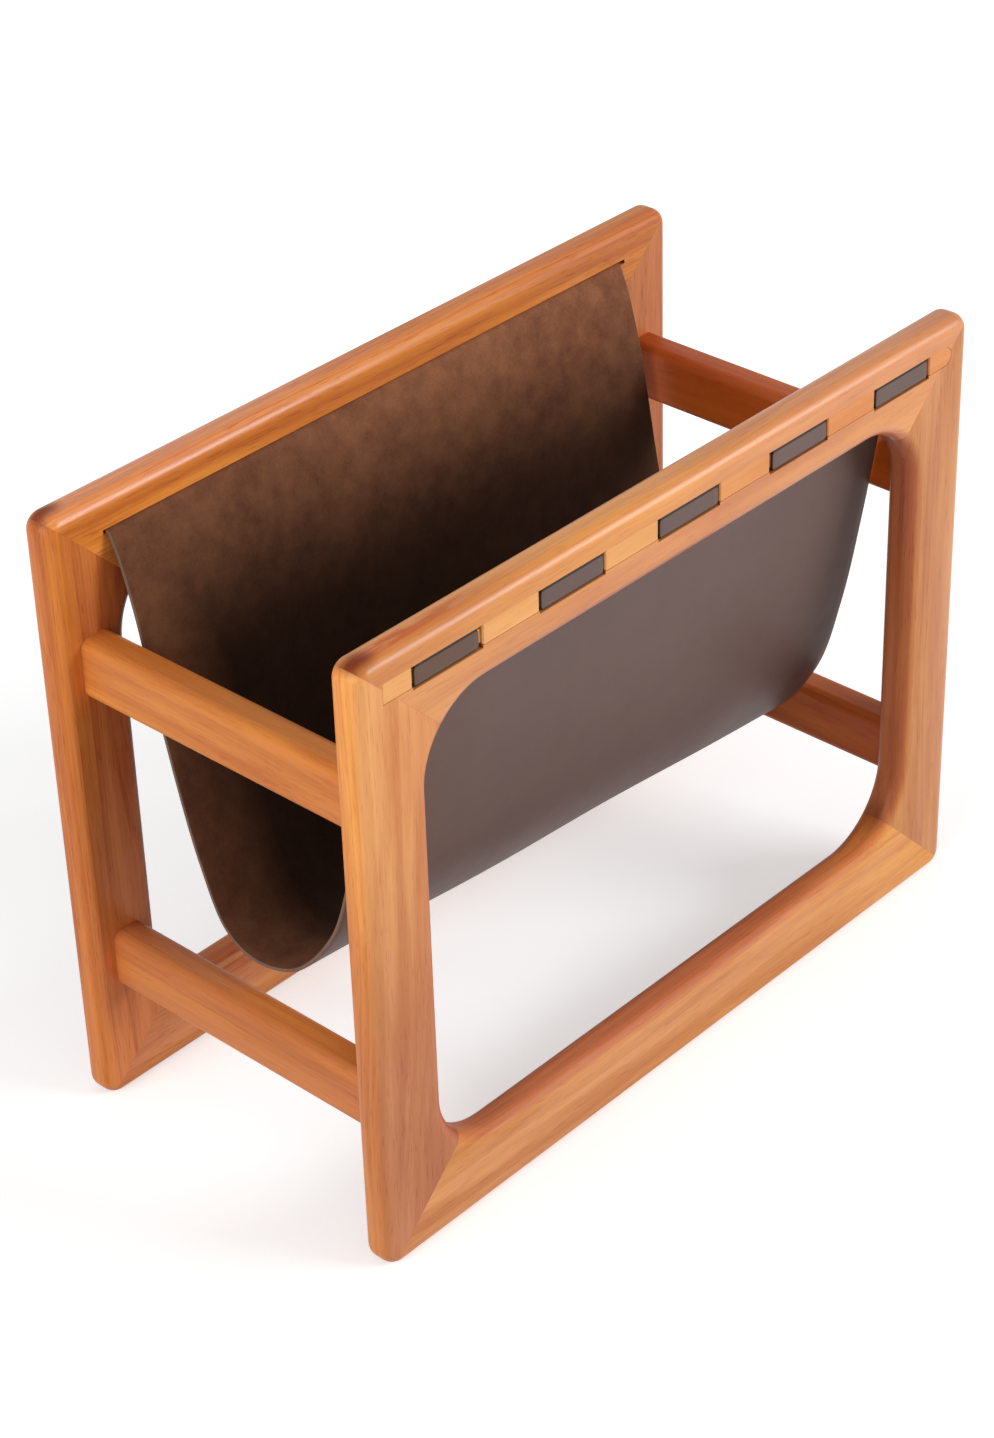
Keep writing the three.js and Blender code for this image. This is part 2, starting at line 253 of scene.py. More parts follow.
def loft(name, rings, materials=(), uv=None, slots=None):
    """A closed piece from points [i, j], where i runs along it and j round its section. Neighbours
    make four-sided faces, and one face closes each end. The faces are turned if the volume, the sum
    of a . (b x c) over their triangles, is negative. uv[i, j] is the place on the flat sheet, and
    slots[j] the material from j to the next j."""
    rows, columns = rings.shape[:2]
    index = np.arange(rows * columns).reshape(rows, columns)
    beside = np.roll(index, -1, axis=1)
    quads = np.stack([index[:-1], beside[:-1], beside[1:], index[1:]], axis=-1).reshape(-1, 4)
    places = rings.reshape(-1, 3)
    a, b, c, d = (places[quads[:, corner]] for corner in range(4))

    def cap(ring):
        """What an end adds: its middle . (b x c), summed over its edges from b to c."""
        return np.sum(ring.mean(0) * np.cross(ring, np.roll(ring, -1, 0)))

    volume = (np.sum(a * np.cross(b, c)) + np.sum(a * np.cross(c, d))
              + cap(rings[-1]) - cap(rings[0]))
    faces = quads.tolist() + [index[0][::-1].tolist(), index[-1].tolist()]
    if volume < 0:
        faces = [face[::-1] for face in faces]
    mesh = bpy.data.meshes.new(name)
    mesh.from_pydata(places.tolist(), [], faces)
    for material in materials:
        mesh.materials.append(material)
    if uv is not None:
        corner_points = np.zeros(len(mesh.loops), np.int32)
        mesh.loops.foreach_get("vertex_index", corner_points)
        layer = mesh.uv_layers.new(name="Flat")
        layer.data.foreach_set("uv", uv.reshape(-1, 2)[corner_points].astype(np.float32).ravel())
    if slots is not None:
        of_faces = np.concatenate([np.tile(slots, rows - 1), [max(slots)] * 2])
        mesh.polygons.foreach_set("material_index", of_faces.astype(np.int32))
    return add_object(name, mesh)


def combine(piece, other, operation):
    """Joins other to the piece, or cuts it from the piece, and removes other."""
    change = piece.modifiers.new(operation.title(), "BOOLEAN")
    change.operation = operation
    change.solver = "EXACT"
    change.object = other
    shown = piece.evaluated_get(bpy.context.evaluated_depsgraph_get())
    result = bpy.data.meshes.new_from_object(shown)
    piece.modifiers.clear()
    piece.data = result
    bpy.data.objects.remove(other)


def finish_piece(piece, node, flat_faces=True):
    """Gives a piece its shading and its body, in a node's place, and hides that node."""
    piece.data.shade_smooth()
    piece.data.set_sharp_from_angle(angle=SHARP)
    if flat_faces:
        shading = piece.modifiers.new("Flat faces", "WEIGHTED_NORMAL")
        shading.keep_sharp = True
    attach(piece, BODY)
    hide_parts(node)


def rounded_section(width, height, radius, steps):
    """Points (x, y) of a rectangle with round corners, or of one for each row, given its half width
    and height: each corner's centre plus radius times (cos t, sin t), where t goes a quarter round
    in steps."""
    turn = np.linspace(-QUARTER, 0, steps + 1)
    angle = np.concatenate([turn + corner * QUARTER for corner in range(4)])
    across = np.repeat([1, 1, -1, -1], steps + 1)
    up = np.repeat([-1, 1, 1, -1], steps + 1)
    return points(across * (width - radius) + radius * np.cos(angle),
                  up * (height - radius) + radius * np.sin(angle))


def bar_along_x(
        name, stations, halves, fronts, backs, end, materials=(), lifts=0.0, softness=0.0, steps=0):
    """A bar along X on a frame: at each station a rectangle from front to back in Y, and half above
    and half below a middle that is lifted from the slit's height, with its corners rounded by
    softness, or by most of its half side where that is less."""
    stations, halves, fronts, backs, lifts = (
        row[:, None] for row in np.broadcast_arrays(stations, halves, fronts, backs, lifts))
    depth = (backs - fronts) / 2
    soft = np.minimum(softness, MOST_SOFTNESS * np.minimum(depth, halves))
    section = rounded_section(depth, halves, soft, steps)
    y, z = section[..., 0] + (fronts + depth), section[..., 1] + slit_z() + lifts
    return loft(name, placed(points(stations, y, z), end), materials)


# Frame boards

def board_rings(side):
    """A mitred frame member. Its outer line runs from the middle of one rounded outer corner to the
    next, and its inner line likewise round the opening. The section goes round the outer edge from
    front to back, and round the inner edge back to the front. A roundover point lies r (1 - sin t)
    in from its line and r (1 - cos t) in from its face."""
    s = sizes()
    half_along, half_out = s.length / 2, s.height / 2
    if side in OTHER_SIDE:
        half_along, half_out = half_out, half_along
    turn = np.linspace(QUARTER / 2, 0, CORNER_STEPS + 1)
    straight = np.linspace(-1, 1, STRAIGHT_STEPS + 1)[1:-1]
    lean = np.concatenate([turn, 0 * straight, -turn[::-1]])
    outward = points(-np.sin(lean), np.cos(lean))

    def line(inset, corner):
        """Points of a rounded side, set in by inset."""
        reach = half_along - inset - corner
        middle = np.concatenate([0 * turn - reach, straight * reach, 0 * turn + reach])
        return points(middle, half_out - inset - corner) + corner * outward

    t = np.linspace(0, QUARTER, EDGE_STEPS + 1)
    inward = s.roundover * (1 - np.sin(t))
    inward = np.concatenate([inward, inward[::-1]])[:, None]
    depth = s.roundover * (1 - np.cos(t))
    depth = np.concatenate([depth, s.board - depth[::-1]])
    outer = line(0, s.outer_corner)[:, None] - inward * outward[:, None]
    inner = line(s.member, s.opening_corner)[:, None] + inward * outward[:, None]
    section = np.concatenate([outer, inner], axis=1)
    y = np.concatenate([depth, depth[::-1]])
    along = section[..., 0] * (1 - GLUE_LINE / (2 * half_along))
    out = section[..., 1]
    x, z = {"top": (along, out), "right": (out, -along),
            "bottom": (-along, -out), "left": (-out, along)}[side]
    return points(x, y, z + s.height / 2)


GROOVE_STEP = 1.5 * MM
ROUND_END = 0.97 * QUARTER


def groove_plan(gap, ease=0.0):
    """Stations along the groove: where along X, half the height, how far the middle is lifted, how
    far the front is eased, and whether a tab is there. It is full height at a tab, and a step less
    at the bottom beside one. Its right end is a circle, the root of r^2 - d^2."""
    s = sizes()
    half = (s.groove_height - GROOVE_STEP) / 2 - gap
    start = s.length / 2 - s.groove_setback - gap - half
    turn = np.linspace(0, ROUND_END, CORNER_STEPS)
    reach = s.tab_width / 2 + s.tab_gap
    ways = np.array([-1, -1, -1, 1, 1, 1]) * (reach + ease * np.array([1, 0, 0, 0, 0, 1]))
    stations = np.concatenate([
        [gap - s.length / 2 + s.groove_setback], (tab_middles()[:, None] + ways).ravel(),
        start + half * np.sin(turn)])
    at_tab, eased = (
        np.concatenate([[0], np.tile(marks, s.tabs), 0 * turn])
        for marks in ([0, 0, 1, 1, 0, 0], [0, ease, 0, 0, ease, 0]))
    past = np.clip(stations - start, 0, half)
    halves = np.where(at_tab, s.groove_height / 2, np.sqrt(half ** 2 - past ** 2) - eased)
    return stations, halves, np.where(at_tab, 0, GROOVE_STEP / 2), eased, at_tab


def cut_groove(board, end):
    """Cuts the groove's plan into a frame board, from before its face to the groove's depth."""
    stations, halves, lifts = groove_plan(0)[:3]
    groove = bar_along_x(
        "groove", stations, halves, -OVERRUN, sizes().groove_depth, end, lifts=lifts)
    combine(board, groove, "DIFFERENCE")


def cut_slit(board, end):
    """The slit lets the leather through from the inner face to the groove. The far one is shorter
    at its right end, which is drawn at the left."""
    s = sizes()
    reach = s.sling_width / 2 + SLIT_END_GAP
    slit = bar_along_x(
        "slit", [FAR_SLIT_SHORT * (end == "far") - reach, reach], s.leather / 2 + FIT_GAP,
        s.groove_depth - OVERRUN, s.board + OVERRUN, end)
    combine(board, slit, "DIFFERENCE")


def cut_sockets(board, nodes):
    """Cuts a socket round each hidden tongue or dowel, from its own box. A tongue stands on its
    corner, so its ring has one point on each side of the box."""
    for node in nodes:
        low, high = (Vector(v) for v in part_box(node))
        middle, half = (low + high) / 2, (high - low) / 2
        steps = 4 if node.endswith("tongue") else ROUND_STEPS
        turn = np.linspace(0, 2 * math.pi, steps, endpoint=False)
        reach = half.x + FIT_GAP
        x, z = middle.x + reach * np.cos(turn), middle.z + reach * np.sin(turn)
        rings = [points(x, y, z) for y in (low.y - FIT_GAP, high.y + FIT_GAP)]
        combine(board, loft("socket", np.array(rings)), "DIFFERENCE")


def dowel_nodes(side, levels, ends):
    """Dowels of the cross rails on one side, at some levels and ends."""
    return [f"{side}_{level}_{end}_{place}_dowel"
            for level in levels for end in ends for place in UP_DOWN]


def hidden_nodes(end, side):
    """Tongues and dowels whose sockets are in a frame member, given its side in its name."""
    if side in UP_DOWN:
        return [f"{end}_{side}_{other}_tongue" for other in OTHER_SIDE]
    return [f"{end}_{place}_{side}_tongue" for place in UP_DOWN] + dowel_nodes(side, LEVELS, [end])


class RACK_OT_boards(bpy.types.Operator):
    """Make the eight mitred boards of the two frames"""

    bl_idname = "rack.boards"
    bl_label = "Frame boards"

    def execute(self, context):
        for end in ENDS:
            for side in SIDES:
                node = board_node(end, side)
                rings = placed(board_rings(side), end)
                board = loft(f"{node}_board", rings, [wood_material(node)])
                if side != "bottom":
                    cut_groove(board, end)
                if side == "top":
                    cut_slit(board, end)
                cut_sockets(board, hidden_nodes(end, node.split("_")[1]))
                finish_piece(board, node)
        return {"FINISHED"}


# Cross rails

def cross_rail_rings(node):
    """A bar along Y between the two frames, its section a rectangle with round corners."""
    s = sizes()
    middle, size = node_middle(node), node_size(node)
    section = rounded_section(size.x / 2, size.z / 2, s.rail_edge, EDGE_STEPS)
    x, z = middle.x + section[:, 0], middle.z + section[:, 1]
    reach = half_gap() - GLUE_LINE
    return np.array([points(x, y, z) for y in (-reach, reach)])


class RACK_OT_cross_rails(bpy.types.Operator):
    """Make the four cross rails between the frames"""

    bl_idname = "rack.cross_rails"
    bl_label = "Cross rails"

    def execute(self, context):
        for side in OTHER_SIDE:
            for level in LEVELS:
                node = f"{side}_{level}_cross_rail"
                rail = loft(f"{node}_bar", cross_rail_rings(node), [wood_material(node)])
                cut_sockets(rail, dowel_nodes(side, [level], ENDS))
                finish_piece(rail, node)
        return {"FINISHED"}


# Battens

BATTEN_SOFTNESS = 0.35 * MM
BATTEN_EDGE_STEPS = 3
SHOULDER_EASE = 0.7 * MM


def batten(end):
    """A strip that fills the groove between the tabs, and thins to a core where a tab wraps it. Its
    height and front are eased where they meet a tab."""
    s = sizes()
    stations, halves, lifts, eased, core = groove_plan(SHOWN_GAP, SHOULDER_EASE)
    wrap = s.leather + 2 * FIT_GAP
    halves = np.where(core, halves - wrap, halves)
    fronts = np.where(core, TAB_SINK + TAB_SKIVE * s.leather + FIT_GAP, eased)
    backs = np.where(core, s.groove_depth - wrap, s.groove_depth - FIT_GAP)
    return bar_along_x(
        f"{end}_batten_strip", stations, halves, fronts, backs, end,
        [wood_material(f"{end}_batten")], lifts, BATTEN_SOFTNESS, BATTEN_EDGE_STEPS)


class RACK_OT_battens(bpy.types.Operator):
    """Make the two pale battens that hold the leather's tabs"""

    bl_idname = "rack.battens"
    bl_label = "Battens"

    def execute(self, context):
        for end in ENDS:
            finish_piece(batten(end), f"{end}_batten")
        return {"FINISHED"}


# Leather sling

# The hang from the far slit to the near one: across as a share of the half gap between the frames,
# and down as a share of the drop
HANG_SHARES = np.array([
    [0.916, 0.064], [0.826, 0.197], [0.694, 0.478], [0.494, 0.808], [0.332, 0.958], [0.133, 1],
    [-0.187, 0.966], [-0.499, 0.812], [-0.656, 0.626], [-0.796, 0.371], [-0.915, 0.116]])
# How much further in the leather's right edge lies at the far slit, and at which share of its run
# it is straight
RIGHT_RUNOUT = 7.5 * MM
RUNOUT_END = 0.75
MOUTH_BEND = 2.5 * MM
TAB_BEND = 1.8 * MM
TAB_FRONT_BEND = 0.8 * MM
TAB_LAP = 4 * MM
TAB_SOFT_CORNER = 3.2 * MM
TAB_SLACK = 0.3 * MM
TAB_SINK = 0.25 * MM
TAB_SKIVE = 0.6
# How far each tab's left and right sides stand in from its full width, left tab first
TAB_TRIMS = np.array([[0.2, 1.6], [0.3, 0.3], [0.2, 0.2], [1.4, 0], [0.3, 0.6]]) * MM
# Share of the leather's thickness that a tab has in the slit, and where along it the skiving runs
SLIT_SHARE = 0.9
SKIVED_RUN = (0.125, 0.375)
EDGE_SOFTNESS = 0.5 * MM
EDGE_ROUNDNESS = 0.9
EDGE_SOFT_STEPS = 3
WAVE_HEIGHT = 0.6 * MM
BEND_STEPS = 8
CURVE_STEPS = 24
HANG_STEPS = 150
SHEET_COLUMNS = 72
TAB_COLUMNS = 12
TAB_STEPS = 72
LEATHER, SUEDE, CUT = 0, 1, 2


def smooth_through(knots, steps):
    """A centripetal Catmull-Rom curve: between two knots a cubic whose end slopes come from the
    neighbours, each gap counted as the root of its length."""
    padded = np.concatenate([[2 * knots[0] - knots[1]], knots, [2 * knots[-1] - knots[-2]]])
    gaps = np.sqrt(np.linalg.norm(np.diff(padded, axis=0), axis=1))[:, None]
    before, gap, after = gaps[:-2], gaps[1:-1], gaps[2:]
    a, b, c, d = padded[:-3], padded[1:-2], padded[2:-1], padded[3:]
    leave = gap * ((b - a) / before - (c - a) / (before + gap) + (c - b) / gap)
    arrive = gap * ((c - b) / gap - (d - b) / (gap + after) + (d - c) / after)
    t = np.linspace(0, 1, steps, endpoint=False)[:, None, None]
    curve = (b + leave * t + (3 * (c - b) - 2 * leave - arrive) * t ** 2
             + (2 * (b - c) + leave + arrive) * t ** 3)
    return np.concatenate([curve.transpose(1, 0, 2).reshape(-1, 2), knots[-1:]])


def run_lengths(line):
    """Length along a line up to each of its points."""
    return np.concatenate([[0], np.cumsum(np.linalg.norm(np.diff(line, axis=0), axis=1))])


def evenly(line, steps):
    """The line with its points spaced evenly along it."""
    run = run_lengths(line)
    even = np.linspace(0, run[-1], steps + 1)
    return points(*(np.interp(even, run, axis) for axis in line.T))


def sling_line(drop):
    """Middle line (y, z) of the leather at one end of the sling: out of the far slit, round its
    lower lip, down and up along the hang, round the near lip and into the near slit."""
    s = sizes()
    gap, mouth = half_gap(), MOUTH_BEND
    slit_end = gap + s.board - s.groove_depth - FIT_GAP
    hang = points(HANG_SHARES[:, 0] * gap, slit_z() - HANG_SHARES[:, 1] * drop)
    steepness = math.atan2(slit_z() - hang[0, 1], gap - hang[0, 0])
    turn = np.linspace(0, steepness, BEND_STEPS + 1)
    lip = points(gap - mouth * np.sin(turn), slit_z() - mouth * (1 - np.cos(turn)))
    near_lip = lip[::-1] * np.array([-1, 1])
    controls = np.concatenate([lip[-1:], hang, near_lip[:1]])
    middle = evenly(smooth_through(controls, CURVE_STEPS), HANG_STEPS)
    ends = np.array([[slit_end, slit_z()], [-slit_end, slit_z()]])
    return np.concatenate([ends[:1], lip, middle[1:-1], near_lip, ends[1:]])


def tab_line():
    """Middle line (y, z) of a tab on its frame: out of the slit, down behind the batten's core,
    under it, up its front and back over its top. Each corner is a quarter circle."""
    s = sizes()
    skived = TAB_SKIVE * s.leather
    back = s.groove_depth - FIT_GAP - s.leather / 2
    front = TAB_SINK + skived / 2
    half = s.groove_height / 2 - TAB_SLACK - skived / 2
    corners = np.array([
        [s.groove_depth + TAB_LAP, 0], [back, 0], [back, -half], [front, -half], [front, half],
        [s.groove_depth / 2, half]])
    radius = np.array([TAB_BEND, TAB_BEND, TAB_FRONT_BEND, TAB_FRONT_BEND])[:, None]
    ways = np.diff(corners, axis=0)
    ways /= np.linalg.norm(ways, axis=1)[:, None]
    before, after = -ways[:-1] * radius, ways[1:] * radius
    turn = np.linspace(0, QUARTER, BEND_STEPS + 1)[:, None, None]
    bends = corners[1:-1] + before + after - np.cos(turn) * after - np.sin(turn) * before
    bends = bends.transpose(1, 0, 2).reshape(-1, 2)
    line = evenly(np.concatenate([corners[:1], bends, corners[-1:]]), TAB_STEPS)
    return line + np.array([0, slit_z()])


def beside(line, distance):
    """The line moved square to its own direction (dy, dz), along (-dz, dy)."""
    step = np.gradient(line, axis=0)
    step /= np.linalg.norm(step, axis=1)[:, None]
    return line + distance[:, None] * points(-step[:, 1], step[:, 0])


def leather_grid(lines, edges, halves, columns, wave=0.0):
    """A strip of leather between two lines (y, z), one at each edge: rings that go over the suede,
    round one cut edge, back over the smooth face and round the other. A point is the line moved
    square to itself by its depth in the leather, blended between the lines by its share of the
    width. The wave lifts both faces by slow sines of share and run, and calms at the ends."""
    (left, right), (left_x, right_x) = lines, edges
    width = (right_x - left_x)[:, None]
    soft = EDGE_SOFTNESS / width.max()
    turn = np.linspace(0, QUARTER, EDGE_SOFT_STEPS + 1)
    inset, lift = soft * (1 - np.sin(turn)), 1 - EDGE_ROUNDNESS * (1 - np.cos(turn))
    over = soft + (1 - 2 * soft) * np.linspace(0, 1, columns + 1)
    edge = np.concatenate([1 - inset[1:], 1 - inset[:0:-1]])
    share = np.concatenate([over, edge, over[::-1], 1 - edge])
    face, depth = np.ones(columns + 1), np.concatenate([-lift[1:], lift[:0:-1]])
    side = np.concatenate([-face, depth, face, -depth])
    slots = np.repeat([SUEDE, CUT, LEATHER, CUT], [columns, len(edge) + 1] * 2)
    mix = (side[:, None] + 1) / 2
    yz = 0
    for line, weight in ((left, 1 - share), (right, share)):
        inner, outer = (beside(line, halves * way)[:, None] for way in (-1, 1))
        yz = yz + (inner * (1 - mix) + outer * mix) * weight[:, None]
    if wave:
        middle = (left + right) / 2
        run = np.linspace(0, 1, len(left))[:, None]
        calm = np.sin(math.pi * run) ** 2
        ripple = (np.sin(7.1 * share + 3.3 * run + 0.4) * np.sin(9.4 * run - 2.2 * share)
                  + 0.5 * np.sin(13.7 * share - 6.1 * run))
        lean = beside(middle, np.ones(len(left))) - middle
        yz = yz + lean[:, None] * (wave * calm * ripple)[..., None]
    x = left_x[:, None] + width * share
    run = (run_lengths(left) + run_lengths(right)) / 2
    return np.concatenate([x[..., None], yz], axis=-1), points(x, run[:, None]), slots


def sling_body(materials):
    """The leather from slit to slit. At the far slit its right edge lies further in, by the runout
    times (1 + cos t) / 2, where t goes half round by the runout's end."""
    s = sizes()
    lines = sling_line(s.left_drop), sling_line(s.right_drop)
    count = len(lines[0])
    run = run_lengths(lines[1]) / run_lengths(lines[1])[-1]
    half = s.sling_width / 2
    runout = RIGHT_RUNOUT * (1 + np.cos(math.pi * np.minimum(run / RUNOUT_END, 1))) / 2
    edges = np.full(count, -half), half - runout
    halves = np.full(count, s.leather / 2)
    rings, uv, slots = leather_grid(lines, edges, halves, SHEET_COLUMNS, WAVE_HEIGHT)
    return loft("sling_leather_sheet", rings, materials, uv, slots)


def tab(end, middle, trims, materials):
    """One tab, skived thin where it wraps the batten, and narrower in the slit and where it turns
    the batten's front edges: its corners there are quarter circles."""
    s = sizes()
    line = tab_line()
    run = run_lengths(line) / run_lengths(line)[-1]
    thick = np.interp(run, SKIVED_RUN, (SLIT_SHARE, TAB_SKIVE))
    edge = s.groove_height / 2 - TAB_SLACK
    turned = np.clip(1 - (edge - np.abs(line[:, 1] - slit_z())) / TAB_SOFT_CORNER, 0, 1)
    narrow = TAB_SOFT_CORNER * (1 - np.sqrt(1 - turned ** 2)) * (line[:, 0] < s.groove_depth / 2)
    narrow += FAR_SLIT_SHORT * (line[:, 0] > s.groove_depth)
    half = s.tab_width / 2 - narrow
    edges = middle - half + trims[0], middle + half - trims[1]
    rings, uv, slots = leather_grid(
        (line, line), edges, s.leather / 2 * thick, TAB_COLUMNS)
    return loft("tab", placed(rings, end), materials, uv, slots)


def sling_cut():
    """The flat cut of the leather: width, longest length and area, in metres. The sheet tapers
    from its right end to its left one, and is narrower by what the runout takes. A tab adds what
    lies past the sheet's own end."""
    s = sizes()
    left, right = (run_lengths(sling_line(drop))[-1] for drop in (s.left_drop, s.right_drop))
    tab_run = run_lengths(tab_line())[-1] - TAB_LAP
    width = s.sling_width - RIGHT_RUNOUT * RUNOUT_END / 2
    area = width * (left + right) / 2 + 2 * s.tabs * s.tab_width * tab_run
    return (s.sling_width, right + 2 * tab_run), area


class RACK_OT_sling(bpy.types.Operator):
    """Make the leather sling with its ten tabs"""

    bl_idname = "rack.sling"
    bl_label = "Leather sling"

    def execute(self, context):
        materials = [smooth_leather(), suede(), cut_leather()]
        sheet = sling_body(materials)
        for end in ENDS:
            for middle, trims in zip(tab_middles(), TAB_TRIMS):
                combine(sheet, tab(end, middle, trims, materials), "UNION")
        finish_piece(sheet, "leather_sling", flat_faces=False)
        flat, area = sling_cut()
        return {"FINISHED"}


# Hidden joints

class RACK_OT_hidden_joints(bpy.types.Operator):
    """Finish the tongues in the mitres and the dowels in the cross rails"""

    bl_idname = "rack.hidden_joints"
    bl_label = "Hidden joints"

    def execute(self, context):
        f = finishes()
        for kind, grain in (("tongue", "X"), ("dowel", "Y")):
            material = wood(
                f"Beech {kind}", grain, Vector((0, 0, 0)), (f.beech, f.beech, f.beech_dark),
                BEECH_LOOK, 0.0)
            for node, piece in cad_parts.items():
                if node.endswith(kind):
                    piece.data.materials.clear()
                    piece.data.materials.append(material)
        return {"FINISHED"}


# Materials

class Nodes:
    """Adds nodes to a node tree. An input takes a plain value or another node's output."""

    def __init__(self, tree):
        self.tree = tree

    def feed(self, sockets, inputs):
        """Gives sockets, by name or place, their values or links."""
        for name, value in dict(inputs).items():
            if isinstance(value, bpy.types.NodeSocket):
                self.tree.links.new(value, sockets[name])
            else:
                sockets[name].default_value = value

    def add(self, kind, inputs=(), **settings):
        """A new shader node's outputs, given its kind, inputs and settings."""
        node = self.tree.nodes.new(f"ShaderNode{kind}")
        for name, value in settings.items():
            setattr(node, name, value)
        self.feed(node.inputs, inputs)
        return node.outputs

    def math(self, operation, *values):
        """One operation on numbers."""
        return self.add("Math", enumerate(values), operation=operation)[0]

    def plus(self, *values):
        """The sum of the values."""
        return functools.reduce(functools.partial(self.math, "ADD"), values)

    def times(self, *values):
        """The product of the values."""
        return functools.reduce(functools.partial(self.math, "MULTIPLY"), values)

    def vector(self, operation, *values, output="Vector"):
        """One operation on vectors."""
        return self.add("VectorMath", enumerate(values), operation=operation)[output]

    def length(self, vector, shares):
        """The vector's length, with a share of each axis."""
        return self.vector("LENGTH", self.vector("MULTIPLY", vector, shares), output="Value")

    def part(self, vector, axis):
        """A vector's share along one axis."""
        return self.add("SeparateXYZ", {"Vector": vector})[axis]

    def noise(self, place, fineness, detail=2.0, roughness=0.5, output="Fac"):
        """Noise with so many features to the metre along each axis, or along a single distance."""
        inputs = {"Scale": 1.0, "Detail": detail, "Roughness": roughness}
        if isinstance(fineness, tuple):
            inputs["Vector"] = self.vector("MULTIPLY", place, fineness)
            return self.add("TexNoise", inputs)[output]
        inputs["W"] = self.times(place, fineness)
        return self.add("TexNoise", inputs, noise_dimensions="1D")[output]

    def mask(self, value, low, high, to_low=0.0, to_high=1.0):
        """The value's way from low to high, eased at both ends."""
        inputs = {"Value": value, "From Min": low, "From Max": high,
                  "To Min": to_low, "To Max": to_high}
        return self.add("MapRange", inputs, interpolation_type="SMOOTHSTEP")[0]

    def blend(self, factor, first, second, way="MIX"):
        """Two colours mixed by a factor."""
        inputs = {0: factor, 6: first, 7: second}
        return self.add("Mix", inputs, data_type="RGBA", blend_type=way)[2]

    def tint(self, colour, shares):
        """A colour times shares of its red, green and blue."""
        return self.blend(1.0, colour, shares, "MULTIPLY")

    def bump(self, height, distance, strength=1.0):
        """The normal of a face that rises and falls by a height."""
        inputs = {"Height": height, "Distance": distance, "Strength": strength}
        return self.add("Bump", inputs)[0]


def new_group(name, inputs, outputs):
    """An empty node group: its nodes, its inputs' sockets and its outputs' sockets, whose labels
    are given by their kind."""
    tree = bpy.data.node_groups.new(name, "ShaderNodeTree")
    for in_out, kinds in (("INPUT", inputs), ("OUTPUT", outputs)):
        for kind, labels in kinds.items():
            for label in labels:
                tree.interface.new_socket(label, in_out=in_out, socket_type=f"NodeSocket{kind}")
    start, end = (tree.nodes.new(f"NodeGroup{side}") for side in ("Input", "Output"))
    return Nodes(tree), start.outputs, end.inputs


def new_material(name):
    """A material with a Principled BSDF: its nodes, its shader's sockets and its object's
    coordinates."""
    material = bpy.data.materials.new(name)
    material.use_nodes = True
    nodes = Nodes(material.node_tree)
    shader = material.node_tree.nodes["Principled BSDF"]
    return material, nodes, shader.inputs, nodes.add("TexCoord")["Object"]


def shade(colour, share=1.0):
    """A share of a colour, opaque."""
    return (*(share * value for value in colour), 1)


HEART_SHADE = (0.3, 0.16, 0.2, 1)


